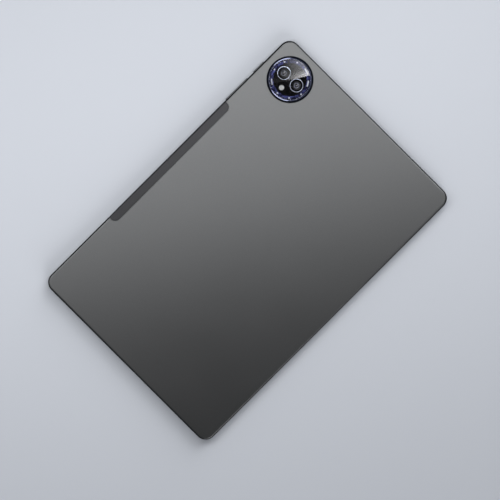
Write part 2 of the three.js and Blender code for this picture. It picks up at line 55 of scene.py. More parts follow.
def corner_loop(width, length, radius, inset=0.0, steps=12, middle=(0.0, 0.0)):
    """A rectangle with round corners as closed loops of points, counterclockwise, one loop for each inset:
    a corner's centre plus (radius - inset) times the cosine and sine of an angle that sweeps its quarter."""
    sweep = np.linspace(0, math.pi / 2, steps + 1)
    angle = sweep[None, :] + np.arange(4)[:, None] * math.pi / 2
    side_x = np.array([1, -1, -1, 1])[:, None]
    side_y = np.array([1, 1, -1, -1])[:, None]
    reach = (radius - np.atleast_1d(inset))[:, None, None]
    x = middle[0] + side_x * (width / 2 - radius) + reach * np.cos(angle)
    y = middle[1] + side_y * (length / 2 - radius) + reach * np.sin(angle)
    return np.stack([x, y], axis=-1).reshape(len(reach), -1, 2)


def loft(width, length, radius, profile, steps=12, middle=(0.0, 0.0)):
    """Rows of corner loops, one for each (inset, height) pair of the profile."""
    inset, height = np.array(profile, float).T
    flat = corner_loop(width, length, radius, inset, steps, middle)
    level = np.broadcast_to(height[:, None, None], flat.shape[:2] + (1,))
    return np.concatenate([flat, level], axis=-1)


def skin(name, rows, ring=False, crease=30):
    """A closed mesh over a grid of points, rows by points round. Four neighbours make one face and the
    last point round joins the first. A ring's last row joins its first; otherwise each end row is closed
    with one flat face, or is a pole where all its points are one."""
    count, around = rows.shape[:2]
    index = np.arange(count * around).reshape(count, around)
    upper = np.roll(index, -1, axis=0) if ring else index[1:]
    lower = index if ring else index[:-1]
    faces = np.stack([lower, np.roll(lower, -1, 1), np.roll(upper, -1, 1), upper], -1).reshape(-1, 4).tolist()
    if not ring and np.ptp(rows[0], axis=0).max() > 1e-9:
        faces.append(index[0, ::-1].tolist())
    if not ring and np.ptp(rows[-1], axis=0).max() > 1e-9:
        faces.append(index[-1].tolist())
    mesh = bpy.data.meshes.new(name)
    mesh.from_pydata(rows.reshape(-1, 3).tolist(), [], faces)
    return shown(name, mesh, crease)


def shown(name, mesh, crease=30):
    """The object of a finished mesh: doubled points merged, smooth, and creased where it turns sharply."""
    work = bmesh.new()
    work.from_mesh(mesh)
    bmesh.ops.remove_doubles(work, verts=work.verts, dist=1e-7)
    bmesh.ops.dissolve_degenerate(work, edges=work.edges, dist=1e-8)
    bmesh.ops.recalc_face_normals(work, faces=work.faces)
    work.to_mesh(mesh)
    work.free()
    mesh.shade_smooth()
    mesh.set_sharp_from_angle(angle=math.radians(crease))
    piece = bpy.data.objects.new(name, mesh)
    bpy.context.scene.collection.objects.link(piece)
    return piece


def arc(centre, radius, start, end, steps=6):
    """Points of a circle's arc in a profile: the centre plus radius times (cos, sin) of angles in degrees."""
    angle = np.radians(np.linspace(start, end, steps + 1))
    return np.column_stack([centre[0] + radius * np.cos(angle), centre[1] + radius * np.sin(angle)])


def place(piece, body, slot, *nodes):
    """The piece rides on a body and stands for CAD nodes, which are hidden. The slot is not used."""
    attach(piece, body)
    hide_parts(*nodes)


def finish(name, color, roughness, metallic=0.0, **more):
    """A material. Colour is what the eye sees, red, green and blue from 0 to 255, made linear by the
    screen standard's curve: ((c + 0.055) / 1.055) to the power 2.4, or c / 12.92 for the darkest."""
    made = bpy.data.materials.new(name)
    made.use_nodes = True
    shader = made.node_tree.nodes["Principled BSDF"]
    linear = [((c / 255 + 0.055) / 1.055) ** 2.4 if c > 10 else c / 255 / 12.92 for c in color]
    shader.inputs["Base Color"].default_value = (*linear, 1)
    shader.inputs["Roughness"].default_value = roughness
    shader.inputs["Metallic"].default_value = metallic
    for socket, value in more.items():
        shader.inputs[socket.replace("_", " ")].default_value = value
    return made


def node(material, kind, options=None, **inputs):
    """A new node of a material's tree. An input is a value, or another node's output to wire to it."""
    tree = material.node_tree
    made = tree.nodes.new("ShaderNode" + kind)
    for key, value in (options or {}).items():
        setattr(made, key, value)
    for key, value in inputs.items():
        socket = made.inputs[int(key[2:])] if key.startswith("at") else made.inputs[key.replace("_", " ")]
        if isinstance(value, bpy.types.NodeSocket):
            tree.links.new(value, socket)
        else:
            socket.default_value = value
    return made


def wire(material, socket, output):
    """An output of the material's tree drives one of its shader's sockets."""
    shader = material.node_tree.nodes["Principled BSDF"]
    material.node_tree.links.new(output, shader.inputs[socket])


def here(material):
    """The point being shaded, in metres in the tablet's own frame."""
    return node(material, "TexCoord").outputs["Object"]


def speckle(material, per_metre, low, high, detail=3.0):
    """Noise with that many cells to a metre, spread between two values."""
    noise = node(material, "TexNoise", Vector=here(material), Scale=per_metre, Detail=detail)
    spread = node(material, "MapRange", Value=noise.outputs["Fac"], From_Min=0.3, From_Max=0.7,
                  To_Min=low, To_Max=high)
    return spread.outputs["Result"]


def blend_colors(material, share, first, second):
    """Two colours, given as the eye sees them, mixed by a share from 0 to 1."""
    mix = node(material, "Mix", {"data_type": "RGBA"}, Factor=share)
    tree = material.node_tree
    for socket, color in ((mix.inputs[6], first), (mix.inputs[7], second)):
        if isinstance(color, bpy.types.NodeSocket):
            tree.links.new(color, socket)
        else:
            socket.default_value = (*[(c / 255) ** 2.2 for c in color], 1)
    return mix.outputs[2]


def mottle(material, per_metre, first, second):
    """The base colour wanders between two colours with that many cells to a metre."""
    wire(material, "Base Color", blend_colors(material, speckle(material, per_metre, 0, 1), first, second))


def grain(material, per_metre, depth, strength=1.0):
    """A fine relief of noise, depth metres from valley to ridge, on the shader's normal."""
    noise = node(material, "TexNoise", Vector=here(material), Scale=per_metre, Detail=4.0)
    bump = node(material, "Bump", Strength=strength, Distance=depth, Height=noise.outputs["Fac"])
    wire(material, "Normal", bump.outputs["Normal"])


def between(material, value, low, high):
    """1 where the value lies between low and high, and 0 elsewhere."""
    above = node(material, "Math", {"operation": "GREATER_THAN"}, at0=value, at1=low)
    below = node(material, "Math", {"operation": "LESS_THAN"}, at0=value, at1=high)
    both = node(material, "Math", {"operation": "MULTIPLY"}, at0=above.outputs[0], at1=below.outputs[0])
    return both.outputs[0]


def size_of(name):
    """A CAD node's lowest corner, highest corner and size, as numpy points."""
    low, high = (np.array(corner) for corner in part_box(name))
    return low, high, high - low


glass_low, glass_high, glass_size = size_of("front_glass")
glass_rim = 0.25 * MM
glass_corner = 7.1 * MM
picture_x, picture_y = 117.9 * MM, 73.7 * MM
rim_low = arc((glass_rim, glass_low[2] + glass_rim), -glass_rim, 90, 0, 5)
rim_high = arc((glass_rim, glass_high[2] - glass_rim), -glass_rim, 0, -90, 5)
screen_glass = skin("screen_glass", loft(glass_size[0], glass_size[1], glass_corner,
                                         np.concatenate([rim_low, rim_high])))

screen_ink = finish("screen_glass_and_ink", (9, 10, 12), 0.05, IOR=1.5, Coat_Weight=0.6, Coat_Roughness=0.02)
along = node(screen_ink, "SeparateXYZ", Vector=here(screen_ink))
inside_x = between(screen_ink, along.outputs["X"], -picture_x, picture_x)
inside_y = between(screen_ink, along.outputs["Y"], -picture_y, picture_y)
picture = node(screen_ink, "Math", {"operation": "MULTIPLY"}, at0=inside_x, at1=inside_y)
wire(screen_ink, "Base Color", blend_colors(screen_ink, picture.outputs[0], (5, 5, 6), (14, 16, 20)))
wire(screen_ink, "Roughness", speckle(screen_ink, 40, 0.03, 0.07))
screen_glass.data.materials.append(screen_ink)
place(screen_glass, "housing", "screen_glass", "front_glass")

# ---- Front bezel ----
# A moulded ring of black plastic between the glass and the metal cover, glued to both.
# Its thin lip shows round the glass, and its wide ledge behind the glass carries the adhesive.

bezel_low, bezel_high, bezel_size = size_of("front_bezel")
lip = 0.5 * MM
ledge = 3.7 * MM
ledge_floor = glass_high[2] + 0.1 * MM
bezel_round = 0.15 * MM
bezel_corner = 7.8 * MM
bezel_profile = np.concatenate([
    [(lip, bezel_low[2])],
    arc((bezel_round, bezel_low[2] + bezel_round), -bezel_round, 90, 0, 3),
    [(0, bezel_high[2]), (ledge, bezel_high[2]), (ledge, ledge_floor), (lip, ledge_floor)],
])
bezel_ring = skin("bezel_ring", loft(bezel_size[0], bezel_size[1], bezel_corner, bezel_profile), ring=True)
bezel_black = finish("bezel_plastic", (16, 17, 19), 0.6)
wire(bezel_black, "Roughness", speckle(bezel_black, 900, 0.5, 0.7))
grain(bezel_black, 6000, 0.02 * MM, 0.3)
bezel_ring.data.materials.append(bezel_black)
place(bezel_ring, "housing", "bezel_plastic", "front_bezel")

# ---- Display panel, backlight and stiffening plate ----
# The liquid crystal panel lies on a light guide with its films, and a stamped aluminium plate behind
# them stiffens the whole. An amber ribbon turns round the plate's edge to the main board.


def paint(names, material):
    """CAD nodes whose shape is right keep it and get a better material."""
    for name in names:
        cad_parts[name].material_slots[0].material = material


panel_glass = finish("panel_glass", (20, 22, 27), 0.25, IOR=1.5)
mottle(panel_glass, 300, (17, 18, 23), (25, 28, 34))
wire(panel_glass, "Roughness", speckle(panel_glass, 60, 0.15, 0.3))
paint(["display_panel"], panel_glass)

film_white = finish("backlight_film", (223, 226, 228), 0.5)
dots = node(film_white, "TexVoronoi", Vector=here(film_white), Scale=900.0)
film_look = blend_colors(film_white, dots.outputs["Distance"], (240, 242, 243), (196, 200, 204))
wire(film_white, "Base Color", film_look)
wire(film_white, "Roughness", speckle(film_white, 500, 0.4, 0.6))
paint(["backlight_unit"], film_white)

rolled_sheet = finish("rolled_aluminium", (141, 145, 148), 0.45, 0.95)
stretched = node(rolled_sheet, "Mapping", Vector=here(rolled_sheet), Scale=(30.0, 3000.0, 300.0))
lines = node(rolled_sheet, "TexNoise", Vector=stretched.outputs["Vector"], Scale=1.0, Detail=5.0)
rolled_look = blend_colors(rolled_sheet, lines.outputs["Fac"], (118, 122, 126), (168, 171, 174))
wire(rolled_sheet, "Base Color", rolled_look)
rolling = node(rolled_sheet, "MapRange", Value=lines.outputs["Fac"], To_Min=0.3, To_Max=0.6)
wire(rolled_sheet, "Roughness", rolling.outputs["Result"])
paint(["mid_frame", "camera_bracket", "button_bracket"], rolled_sheet)

ribbon_amber = finish("ribbon_film", (160, 100, 30), 0.4, Coat_Weight=0.3)
traces = node(ribbon_amber, "TexWave", {"bands_direction": "DIAGONAL"}, Vector=here(ribbon_amber),
              Scale=700.0, Distortion=0.0)
ribbon_look = blend_colors(ribbon_amber, traces.outputs["Fac"], (126, 68, 16), (196, 132, 52))
wire(ribbon_amber, "Base Color", ribbon_look)
wire(ribbon_amber, "Roughness", speckle(ribbon_amber, 400, 0.3, 0.5))
paint(["display_cable", "camera_cable", "battery_cable", "button_cable"], ribbon_amber)

# ---- Battery ----
# Two pouch cells in black foil lie side by side, taped to the cover, and share one protection board.

foil = finish("cell_foil", (43, 45, 49), 0.45, 0.25)
crease_relief_and_shade = node(foil, "TexNoise", Vector=here(foil), Scale=60.0, Detail=6.0, Distortion=0.6)
wrinkle = node(foil, "Bump", Strength=0.5, Distance=0.15 * MM, Height=crease_relief_and_shade.outputs["Fac"])
wire(foil, "Normal", wrinkle.outputs["Normal"])
# Painted shade: the base colour follows the wrinkle height, darker in the valleys of the creases and lighter
# on the ridges.
wire(foil, "Base Color", blend_colors(foil, crease_relief_and_shade.outputs["Fac"], (34, 36, 40), (58, 60, 64)))
wire(foil, "Roughness", speckle(foil, 150, 0.35, 0.55))
paint(["battery_cell_left", "battery_cell_right"], foil)

# ---- Circuit boards and what is soldered on them ----
# Green glass-fibre boards with copper traces under lacquer carry black chips, tin-plated steel cans,
# the microphone and the card reader. Six steel screws hold the main board to the plate.

chip_level = 4.05 * MM
board_green = finish("circuit_board", (29, 74, 54), 0.5, Coat_Weight=0.2)
height = node(board_green, "SeparateXYZ", Vector=here(board_green)).outputs["Z"]
tracks = node(board_green, "TexBrick", {"offset": 0.3}, Vector=here(board_green), Scale=260.0,
              Mortar_Size=0.06, Brick_Width=0.9, Row_Height=0.3)
track_share = node(board_green, "MapRange", Value=tracks.outputs["Fac"], To_Min=0.0, To_Max=1.0)
lacquer = blend_colors(board_green, track_share.outputs["Result"], (22, 62, 44), (52, 104, 74))
chip_share = node(board_green, "Math", {"operation": "GREATER_THAN"}, at0=height, at1=chip_level)
wire(board_green, "Base Color", blend_colors(board_green, chip_share.outputs[0], lacquer, (22, 22, 24)))
wire(board_green, "Roughness", speckle(board_green, 700, 0.4, 0.6))
paint(["main_board", "battery_board"], board_green)

tinned = finish("tinned_steel", (169, 173, 176), 0.35, 0.95)
wire(tinned, "Roughness", speckle(tinned, 350, 0.26, 0.46))
mottle(tinned, 90, (156, 160, 164), (182, 185, 187))
grain(tinned, 2500, 0.01 * MM, 0.3)
paint(["processor_shield", "memory_shield", "power_shield", "radio_shield"], tinned)
paint(["microphone", "card_socket"], tinned)

polished_steel = finish("polished_steel", (180, 183, 186), 0.28, 0.95)
turning = node(polished_steel, "TexWave", {"wave_type": "RINGS"}, Vector=here(polished_steel), Scale=900.0,
               Distortion=2.0, Detail=2.0)
turned_share = node(polished_steel, "MapRange", Value=turning.outputs["Fac"], To_Min=0.2, To_Max=0.38)
wire(polished_steel, "Roughness", turned_share.outputs["Result"])
mottle(polished_steel, 1200, (168, 171, 175), (190, 193, 195))
paint(["board_screw_%d" % number for number in range(1, 7)], polished_steel)
paint(["eject_rod", "eject_lever", "eject_pivot"], polished_steel)
paint(["power_switch", "volume_up_switch", "volume_down_switch"], polished_steel)

# ---- Speakers and aerials ----
# Four sealed plastic boxes sound through the rows of holes in the short edges. Gold-plated aerials on
# small carriers stand under the plastic window.

speaker_black = finish("speaker_plastic", (34, 36, 39), 0.65)
mottle(speaker_black, 800, (29, 31, 34), (42, 44, 47))
wire(speaker_black, "Roughness", speckle(speaker_black, 500, 0.55, 0.75))
grain(speaker_black, 4000, 0.02 * MM, 0.4)
speaker_names = ["speaker_right_upper", "speaker_right_lower", "speaker_left_upper", "speaker_left_lower"]
paint(speaker_names, speaker_black)

aerial_gold = finish("aerial_gold", (185, 138, 74), 0.35, 0.9)
etched = node(aerial_gold, "TexBrick", Vector=here(aerial_gold), Scale=150.0, Mortar_Size=0.08)
gold_look = blend_colors(aerial_gold, etched.outputs["Fac"], (196, 150, 84), (120, 88, 48))
wire(aerial_gold, "Base Color", gold_look)
wire(aerial_gold, "Roughness", speckle(aerial_gold, 900, 0.28, 0.45))
paint(["wifi_antenna", "cellular_antenna"], aerial_gold)

# ---- Camera modules ----
# Two square black housings stand in a stamped bracket, each with a lens barrel sunk in its top.
# The main camera's barrel moves to focus. The flash's chip sits on the bracket beside them.

module_black = finish("module_plastic", (26, 27, 29), 0.6)
mottle(module_black, 1500, (22, 23, 25), (34, 35, 38))
wire(module_black, "Roughness", speckle(module_black, 900, 0.5, 0.7))
paint(["main_camera_housing", "second_camera_housing", "front_camera"], module_black)

phosphor = finish("flash_phosphor", (216, 196, 106), 0.5)
mottle(phosphor, 3000, (206, 184, 84), (228, 212, 130))
paint(["flash_led"], phosphor)


def turned(name, profile, middle, around=96, ring=False, crease=30):
    """A round body about an upright axis: each (radius, height) pair of the profile is carried round to
    the middle plus radius times the cosine and sine of the angle, at its height."""
    radius, height = np.array(profile, float).T
    angle = np.linspace(0, 2 * math.pi, around, endpoint=False)
    x = middle[0] + radius[:, None] * np.cos(angle)
    y = middle[1] + radius[:, None] * np.sin(angle)
    z = np.broadcast_to(height[:, None], x.shape)
    return skin(name, np.stack([x, y, z], axis=-1), ring, crease)


def middle_of(name):
    """The middle of a CAD node, seen from above."""
    low, high, _ = size_of(name)
    return (low[:2] + high[:2]) / 2


def distance_from(material, middle):
    """Distance from an upright axis, in metres: the length of the point less the middle, with no height."""
    centred = node(material, "Mapping", Vector=here(material), Location=(-middle[0], -middle[1], 0.0),
                   Scale=(1.0, 1.0, 0.0))
    length = node(material, "VectorMath", {"operation": "LENGTH"}, Vector=centred.outputs["Vector"])
    return length.outputs["Value"]


lens_coating = finish("coated_lens", (16, 14, 34), 0.03, Coat_Weight=1.0, Coat_Roughness=0.01, Coat_IOR=1.9)
mottle(lens_coating, 250, (5, 5, 14), (16, 12, 34))
element_radius = 1.6 * MM
element_curve = 3.0 * MM
holder_radius = 2.05 * MM
chamfer = 0.1 * MM
rib_start, rib_width, rib_drop = 0.2 * MM, 0.15 * MM, 0.1 * MM
holder_depth = 0.3 * MM
element_seat = 0.42 * MM
element_tip = 0.05 * MM
element_back = 0.85 * MM
barrel_floor = 0.9 * MM

for node_name, barrel_name, body in (("main_camera_lens", "main_lens_barrel", "focus_barrel"),
                                     ("second_camera_lens", "second_lens_barrel", "housing")):
    low, high, size = size_of(node_name)
    middle = middle_of(node_name)
    top = high[2]
    wall = size[0] / 2
    rib = np.arange(3)
    ribs = np.column_stack([
        np.repeat(wall - rib_start - rib_width * rib, 2),
        top - np.repeat(rib_drop * rib, 2) - np.tile([0.0, rib_drop], len(rib)),
    ])
    barrel = turned(barrel_name, np.concatenate([
        [(0, low[2]), (wall - chamfer, low[2]), (wall, low[2] + chamfer), (wall, top - chamfer)],
        [(wall - chamfer, top)],
        ribs,
        [(holder_radius, top - holder_depth), (element_radius, top - element_seat)],
        [(element_radius, top - barrel_floor), (0, top - barrel_floor)],
    ]), middle, 64)
    lens_dark = finish(barrel_name + "_finish", (8, 8, 10), 0.35)
    from_axis = distance_from(lens_dark, middle)
    holder = between(lens_dark, from_axis, element_radius - element_tip, holder_radius)
    wire(lens_dark, "Base Color", blend_colors(lens_dark, holder, (4, 4, 6), (130, 132, 146)))
    wire(lens_dark, "Roughness", speckle(lens_dark, 3000, 0.28, 0.42))
    barrel.data.materials.append(lens_dark)
    place(barrel, body, "lens_black", node_name)
    half_angle = math.degrees(math.asin(element_radius / element_curve))
    bulge = arc((0, top - element_tip - element_curve), element_curve, 90 - half_angle, 90, 10)
    bulge[:, 0] *= 0.98
    bulge[-1, 0] = 0
    element_profile = np.concatenate([[(0, top - element_back), (bulge[0, 0], top - element_back)], bulge])
    element = turned(barrel_name.replace("barrel", "element"), element_profile, middle, 64)
    element.data.materials.append(lens_coating)
    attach(element, body)

# ---- Rear cover ----
# One tray milled out of a block of aluminium, back and sides together, then blasted with fine beads
# and anodised grey. The rim between back and sides is machined as a round with a mirror-smooth finish,
# and its near-black base colour is painted shade, standing in for the dark surroundings it mirrors.

cover_low, cover_high, cover_size = size_of("rear_cover")
corner = 8.1 * MM
rim = 1.6 * MM
side_wall = 1.2 * MM
back_wall = 0.8 * MM
foot_round = 0.2 * MM
flat_start = rim + 0.4 * MM
seam = 0.2 * MM
hair = 0.001 * MM


def cover_profile():
    """From the cavity's ceiling down its wall, round the foot, up the outside and over the rim."""
    ceiling = cover_high[2] - back_wall
    foot = cover_low[2]
    return np.concatenate([
        [(side_wall, ceiling), (side_wall, foot)],
        arc((foot_round, foot + foot_round), -foot_round, 90, 0, 3),
        arc((rim, cover_high[2] - rim), -rim, 0, -90, 14),
        [(flat_start, cover_high[2])],
    ])


def carved(piece, tools, how="DIFFERENCE", crease=30):
    """The piece without the tools, joined with them or only what it shares with them, as a new mesh."""
    bodies = bpy.data.collections.new(piece.name + "_tools")
    for tool in tools:
        bodies.objects.link(tool)
    change = piece.modifiers.new("carve", "BOOLEAN")
    change.operation = how
    change.operand_type = "COLLECTION"
    change.collection = bodies
    change.solver = "EXACT"
    bpy.context.view_layer.update()
    graph = bpy.context.evaluated_depsgraph_get()
    mesh = bpy.data.meshes.new_from_object(piece.evaluated_get(graph))
    name = piece.name
    for used in [piece, *tools]:
        bpy.data.objects.remove(used)
    bpy.data.collections.remove(bodies)
    mesh.name = name
    return shown(name, mesh, crease)


def column(name, width, length, radius, low, high, middle, steps=12):
    """An upright bar with round corners: one corner loop at its low level and the same at its high one."""
    return skin(name, loft(width, length, radius, [(0, low), (0, high)], steps, middle))


def lying(name, length, height, middle, level, stations, along, ring=False, steps=8):
    """A bar with round ends that lies along X or Y through a wall: its outline, length by height, at each
    (inset, position) station of that axis, so many metres smaller all round. A hair of straight side
    keeps the points of two round ends apart."""
    inset, position = np.array(stations, float).T
    outline = corner_loop(length, height, height / 2 - hair, inset, steps)
    run = np.broadcast_to(position[:, None], outline.shape[:2])
    side = middle + outline[..., 0]
    rise = level + outline[..., 1]
    return skin(name, np.stack([run, side, rise] if along == "X" else [side, run, rise], axis=-1), ring)


window_low, window_high, window_size = size_of("antenna_window")
window_corner = 4.7 * MM
window_beyond = 20 * MM


def window_column(name, margin):
    """The column that the aerial window takes out of the cover, wider by the margin all round."""
    width = window_size[0] + 2 * (seam + margin)
    inner = window_low[1] - seam - margin
    middle = ((window_low[0] + window_high[0]) / 2, inner + window_beyond / 2)
    return column(name, width, window_beyond, window_corner, -MM, cover_high[2] + MM, middle, 10)


ring_low, ring_high, ring_size = size_of("camera_ring")
ring_middle = (ring_low[:2] + ring_high[:2]) / 2
neck = 15.4 * MM
neck_play = 0.3 * MM
edge_level = 4.4 * MM
play = 0.2 * MM
key_height = 2.4 * MM
key_flange = 0.5 * MM
microphone_y = 12 * MM
microphone_radius = 0.5 * MM
grille_radius = 0.6 * MM
grille_pitch = 2.2 * MM
grille_count = 8
through_back = np.array([5 * MM, 9 * MM])
through_side = np.array([81 * MM, 86 * MM])
through_end = cover_high[0] + np.array([-3 * MM, MM])


def end_hole(name, radius, along_y, side):
    """A drilled hole through a short wall: a lying bar as long as it is high."""
    stations = np.column_stack([np.zeros(2), np.sort(side * through_end)])
    return lying(name, 2 * radius, 2 * radius, along_y, edge_level, stations, "X")


def cover_tools():
    """Every opening of the cover as a solid: camera, keys, port, tray, microphone and speaker grilles."""
    hole = [(neck + neck_play, level) for level in through_back]
    tools = [turned("camera_hole", hole, ring_middle, 96)]
    for name in ("power_button", "volume_button"):
        low, high, size = size_of(name)
        tools.append(lying(name + "_slot", size[0] - 2 * key_flange + 2 * play, key_height + 2 * play,
                           (low[0] + high[0]) / 2, edge_level, [(0, y) for y in through_side], "Y"))
    for name in ("usb_port_shell", "card_tray"):
        low, high, size = size_of(name)
        tools.append(lying(name + "_slot", size[1] + 2 * play, size[2] + 2 * play, (low[1] + high[1]) / 2,
                           (low[2] + high[2]) / 2, [(0, x) for x in through_end], "X"))
    tools.append(end_hole("microphone_hole", microphone_radius, microphone_y, 1))
    for name in speaker_names:
        low, high, _ = size_of(name)
        middle = (low[1] + high[1]) / 2
        offset = (np.arange(grille_count) - (grille_count - 1) / 2) * grille_pitch
        tools += [end_hole("%s_hole_%d" % (name, k), grille_radius, middle + step, np.sign(low[0]))
                  for k, step in enumerate(offset)]
    return tools


def cover_blank(name):
    """The cover before any opening is made: its profile carried round the tablet's outline."""
    return skin(name, loft(cover_size[0], cover_size[1], corner, cover_profile(), 24))


cover = carved(cover_blank("metal_cover"), [window_column("window_notch", 0.0), *cover_tools()])

# Painted shade: the rim round between these heights gets a near-black base colour, standing in for the dark
# reflection it shows. The same band is also smoother.
rim_shade_top_levels = (7.48 * MM, 7.38 * MM)
rim_shade_foot_levels = (5.7 * MM, 6.0 * MM)
anodised = finish("anodised_aluminium", (108, 109, 110), 0.38, 1.0)
level = node(anodised, "SeparateXYZ", Vector=here(anodised)).outputs["Z"]
rim_shade_top_ramp = node(anodised, "MapRange", Value=level, From_Min=rim_shade_top_levels[0], From_Max=rim_shade_top_levels[1])
rim_shade_foot_ramp = node(anodised, "MapRange", Value=level, From_Min=rim_shade_foot_levels[0], From_Max=rim_shade_foot_levels[1])
rim_band_painted_dark = node(anodised, "Math", {"operation": "MULTIPLY"}, at0=rim_shade_top_ramp.outputs[0], at1=rim_shade_foot_ramp.outputs[0])
blasted = blend_colors(anodised, speckle(anodised, 5200, 0.0, 1.0), (103, 104, 105), (111, 112, 113))
# Painted shade: the near-black (32, 33, 35) on the rim band.
wire(anodised, "Base Color", blend_colors(anodised, rim_band_painted_dark.outputs[0], blasted, (32, 33, 35)))
satin = speckle(anodised, 18, 0.37, 0.39)
shine = node(anodised, "Mix", Factor=rim_band_painted_dark.outputs[0], A=satin, B=0.22)
wire(anodised, "Roughness", shine.outputs["Result"])
grain(anodised, 7000, 0.006 * MM, 0.25)
cover.data.materials.append(anodised)
place(cover, "housing", "anodised_grey", "rear_cover")

# ---- Aerial window ----
# A moulded strip of darker plastic with a metal-look paint, let into the edge beside the keys. It carries
# on the cover's outside shape, back, rim and side, so that radio waves get past the metal.

window = carved(cover_blank("aerial_window"), [window_column("window_body", -seam)], "INTERSECT")
window_plastic = finish("window_plastic", (62, 63, 64), 0.38, 1.0)
mottle(window_plastic, 3000, (62, 62, 64), (69, 69, 71))
wire(window_plastic, "Roughness", speckle(window_plastic, 700, 0.36, 0.4))
grain(window_plastic, 7000, 0.01 * MM, 0.3)
window.data.materials.append(window_plastic)
place(window, "housing", "aerial_plastic", "antenna_window")

# ---- Camera disc ----
# A turned aluminium ring stands through the cover with one round glass in its seat. Under the glass a
# printed plate shows a dark blue band with plain index marks, and has holes for the lenses and flash.

ring_radius = ring_size[0] / 2
glass_radius = 15.1 * MM
seat = 8.0 * MM
bore = 14.3 * MM
ring_top = ring_high[2]
ring_foot = cover_high[2] + 0.1 * MM
ring_round = 0.45 * MM
seat_play = 0.2 * MM
bevel = 0.75 * MM
bevel_depth = 0.45 * MM
camera_ring = turned("camera_ring_turned", np.concatenate([
    [(bore, ring_low[2]), (neck, ring_low[2]), (neck, ring_foot), (ring_radius, ring_foot)],
    arc((ring_radius - ring_round, ring_top - ring_round), ring_round, 0, 90, 8),
    [(glass_radius + seat_play + bevel, ring_top), (glass_radius + seat_play, ring_top - bevel_depth)],
    [(glass_radius + seat_play, seat), (bore, seat)],
]), ring_middle, 128, ring=True)

# Painted highlight: between these radii the bevel round the glass, which is polished, gets a light bluish
# base colour that stands in for the light it catches. Outside them the ring's top keeps its own dark colour.
highlight_band_from, highlight_band_to = glass_radius + 0.15 * MM, glass_radius + 0.75 * MM
ring_metal = finish("ring_metal", (27, 33, 48), 0.22, 1.0)
ring_distance = distance_from(ring_metal, ring_middle)
painted_highlight_band = between(ring_metal, ring_distance, highlight_band_from, highlight_band_to)
seat_share = node(ring_metal, "Math", {"operation": "LESS_THAN"}, at0=ring_distance, at1=highlight_band_from)
# Painted highlight: the light band (130, 134, 156) on the dark ring.
ring_with_painted_highlight = blend_colors(ring_metal, painted_highlight_band, (16, 18, 24), (130, 134, 156))
wire(ring_metal, "Base Color", blend_colors(ring_metal, seat_share.outputs[0], ring_with_painted_highlight, (24, 26, 52)))
wire(ring_metal, "Roughness", speckle(ring_metal, 2500, 0.16, 0.26))
camera_ring.data.materials.append(ring_metal)
place(camera_ring, "housing", "camera_ring", "camera_ring")

disc_low, disc_high, _ = size_of("camera_glass")
disc_round = 0.12 * MM
disc_edge = 0.05 * MM
disc_flat = glass_radius - 0.3 * MM
disc = turned("camera_disc_glass", np.concatenate([
    [(0, disc_low[2]), (glass_radius - disc_edge, disc_low[2]), (glass_radius, disc_low[2] + disc_edge)],
    arc((glass_radius - disc_round, disc_high[2] - disc_round), disc_round, 0, 90, 6),
    [(disc_flat, disc_high[2]), (0, disc_high[2])],
]), ring_middle, 128)
clear_glass = finish("camera_glass_clear", (250, 251, 255), 0.0, IOR=1.6, Transmission_Weight=1.0)
wire(clear_glass, "Roughness", speckle(clear_glass, 60, 0.0, 0.012))
disc.data.materials.append(clear_glass)
place(disc, "housing", "camera_glass", "camera_glass")

plate_low, plate_high, plate_size = size_of("camera_plate")
plate_radius = plate_size[0] / 2 + 0.2 * MM
trim_hole = 5.15 * MM
flash_hole = 2.0 * MM
through_plate = [6 * MM, 9 * MM]
band_from, band_to = 12.3 * MM, 15 * MM
plate = turned("printed_plate", [
    (0, plate_low[2]), (plate_radius, plate_low[2]), (plate_radius, plate_high[2]), (0, plate_high[2]),
], ring_middle, 128)
trim_middles = [middle_of("main_lens_trim"), middle_of("second_lens_trim")]
flash_middle = middle_of("flash_diffuser")
plate_tools = [turned("trim_hole_%d" % k, [(trim_hole, level) for level in through_plate], middle, 64)
               for k, middle in enumerate(trim_middles)]
plate_tools.append(turned("flash_hole", [(flash_hole, level) for level in through_plate], flash_middle, 48))
plate = carved(plate, plate_tools)
print_ink = finish("printed_band", (20, 24, 44), 0.3, Specular_IOR_Level=0.03)
plate_distance = distance_from(print_ink, ring_middle)
band = between(print_ink, plate_distance, band_from, band_to)
swirl = node(print_ink, "TexNoise", Vector=here(print_ink), Scale=330.0, Detail=5.0, Distortion=1.2)
swirl_share = node(print_ink, "MapRange", Value=swirl.outputs["Fac"], From_Min=0.4, From_Max=0.68)
blue = blend_colors(print_ink, swirl_share.outputs[0], (10, 11, 30), (92, 96, 150))
wire(print_ink, "Base Color", blend_colors(print_ink, band, (3, 3, 5), blue))
band_metal = node(print_ink, "Math", {"operation": "MULTIPLY"}, at0=band, at1=0.6)
wire(print_ink, "Metallic", band_metal.outputs[0])
wire(print_ink, "Roughness", speckle(print_ink, 2000, 0.22, 0.4))
plate.data.materials.append(print_ink)
place(plate, "housing", "camera_plate", "camera_plate")

mark_ink = finish("index_mark_ink", (238, 240, 246), 0.5, Specular_IOR_Level=0.3)
mottle(mark_ink, 4000, (232, 235, 242), (246, 247, 250))


def arc_pad(name, middle, radius, width, start, end, low, high):
    """A thin pad bent along a circle: its four-cornered section, of that width and from low to high, is
    carried from one angle to another, in degrees, about the middle."""
    angle = np.radians(np.linspace(start, end, max(6, int(abs(end - start)) + 1)))
    reach = np.array([radius - width / 2, radius + width / 2, radius + width / 2, radius - width / 2])
    z = np.array([low, low, high, high])
    x = middle[0] + np.cos(angle)[:, None] * reach
    y = middle[1] + np.sin(angle)[:, None] * reach
    rows = np.stack([x, y, np.broadcast_to(z, x.shape)], axis=-1)
    return skin(name, rows[::-1])


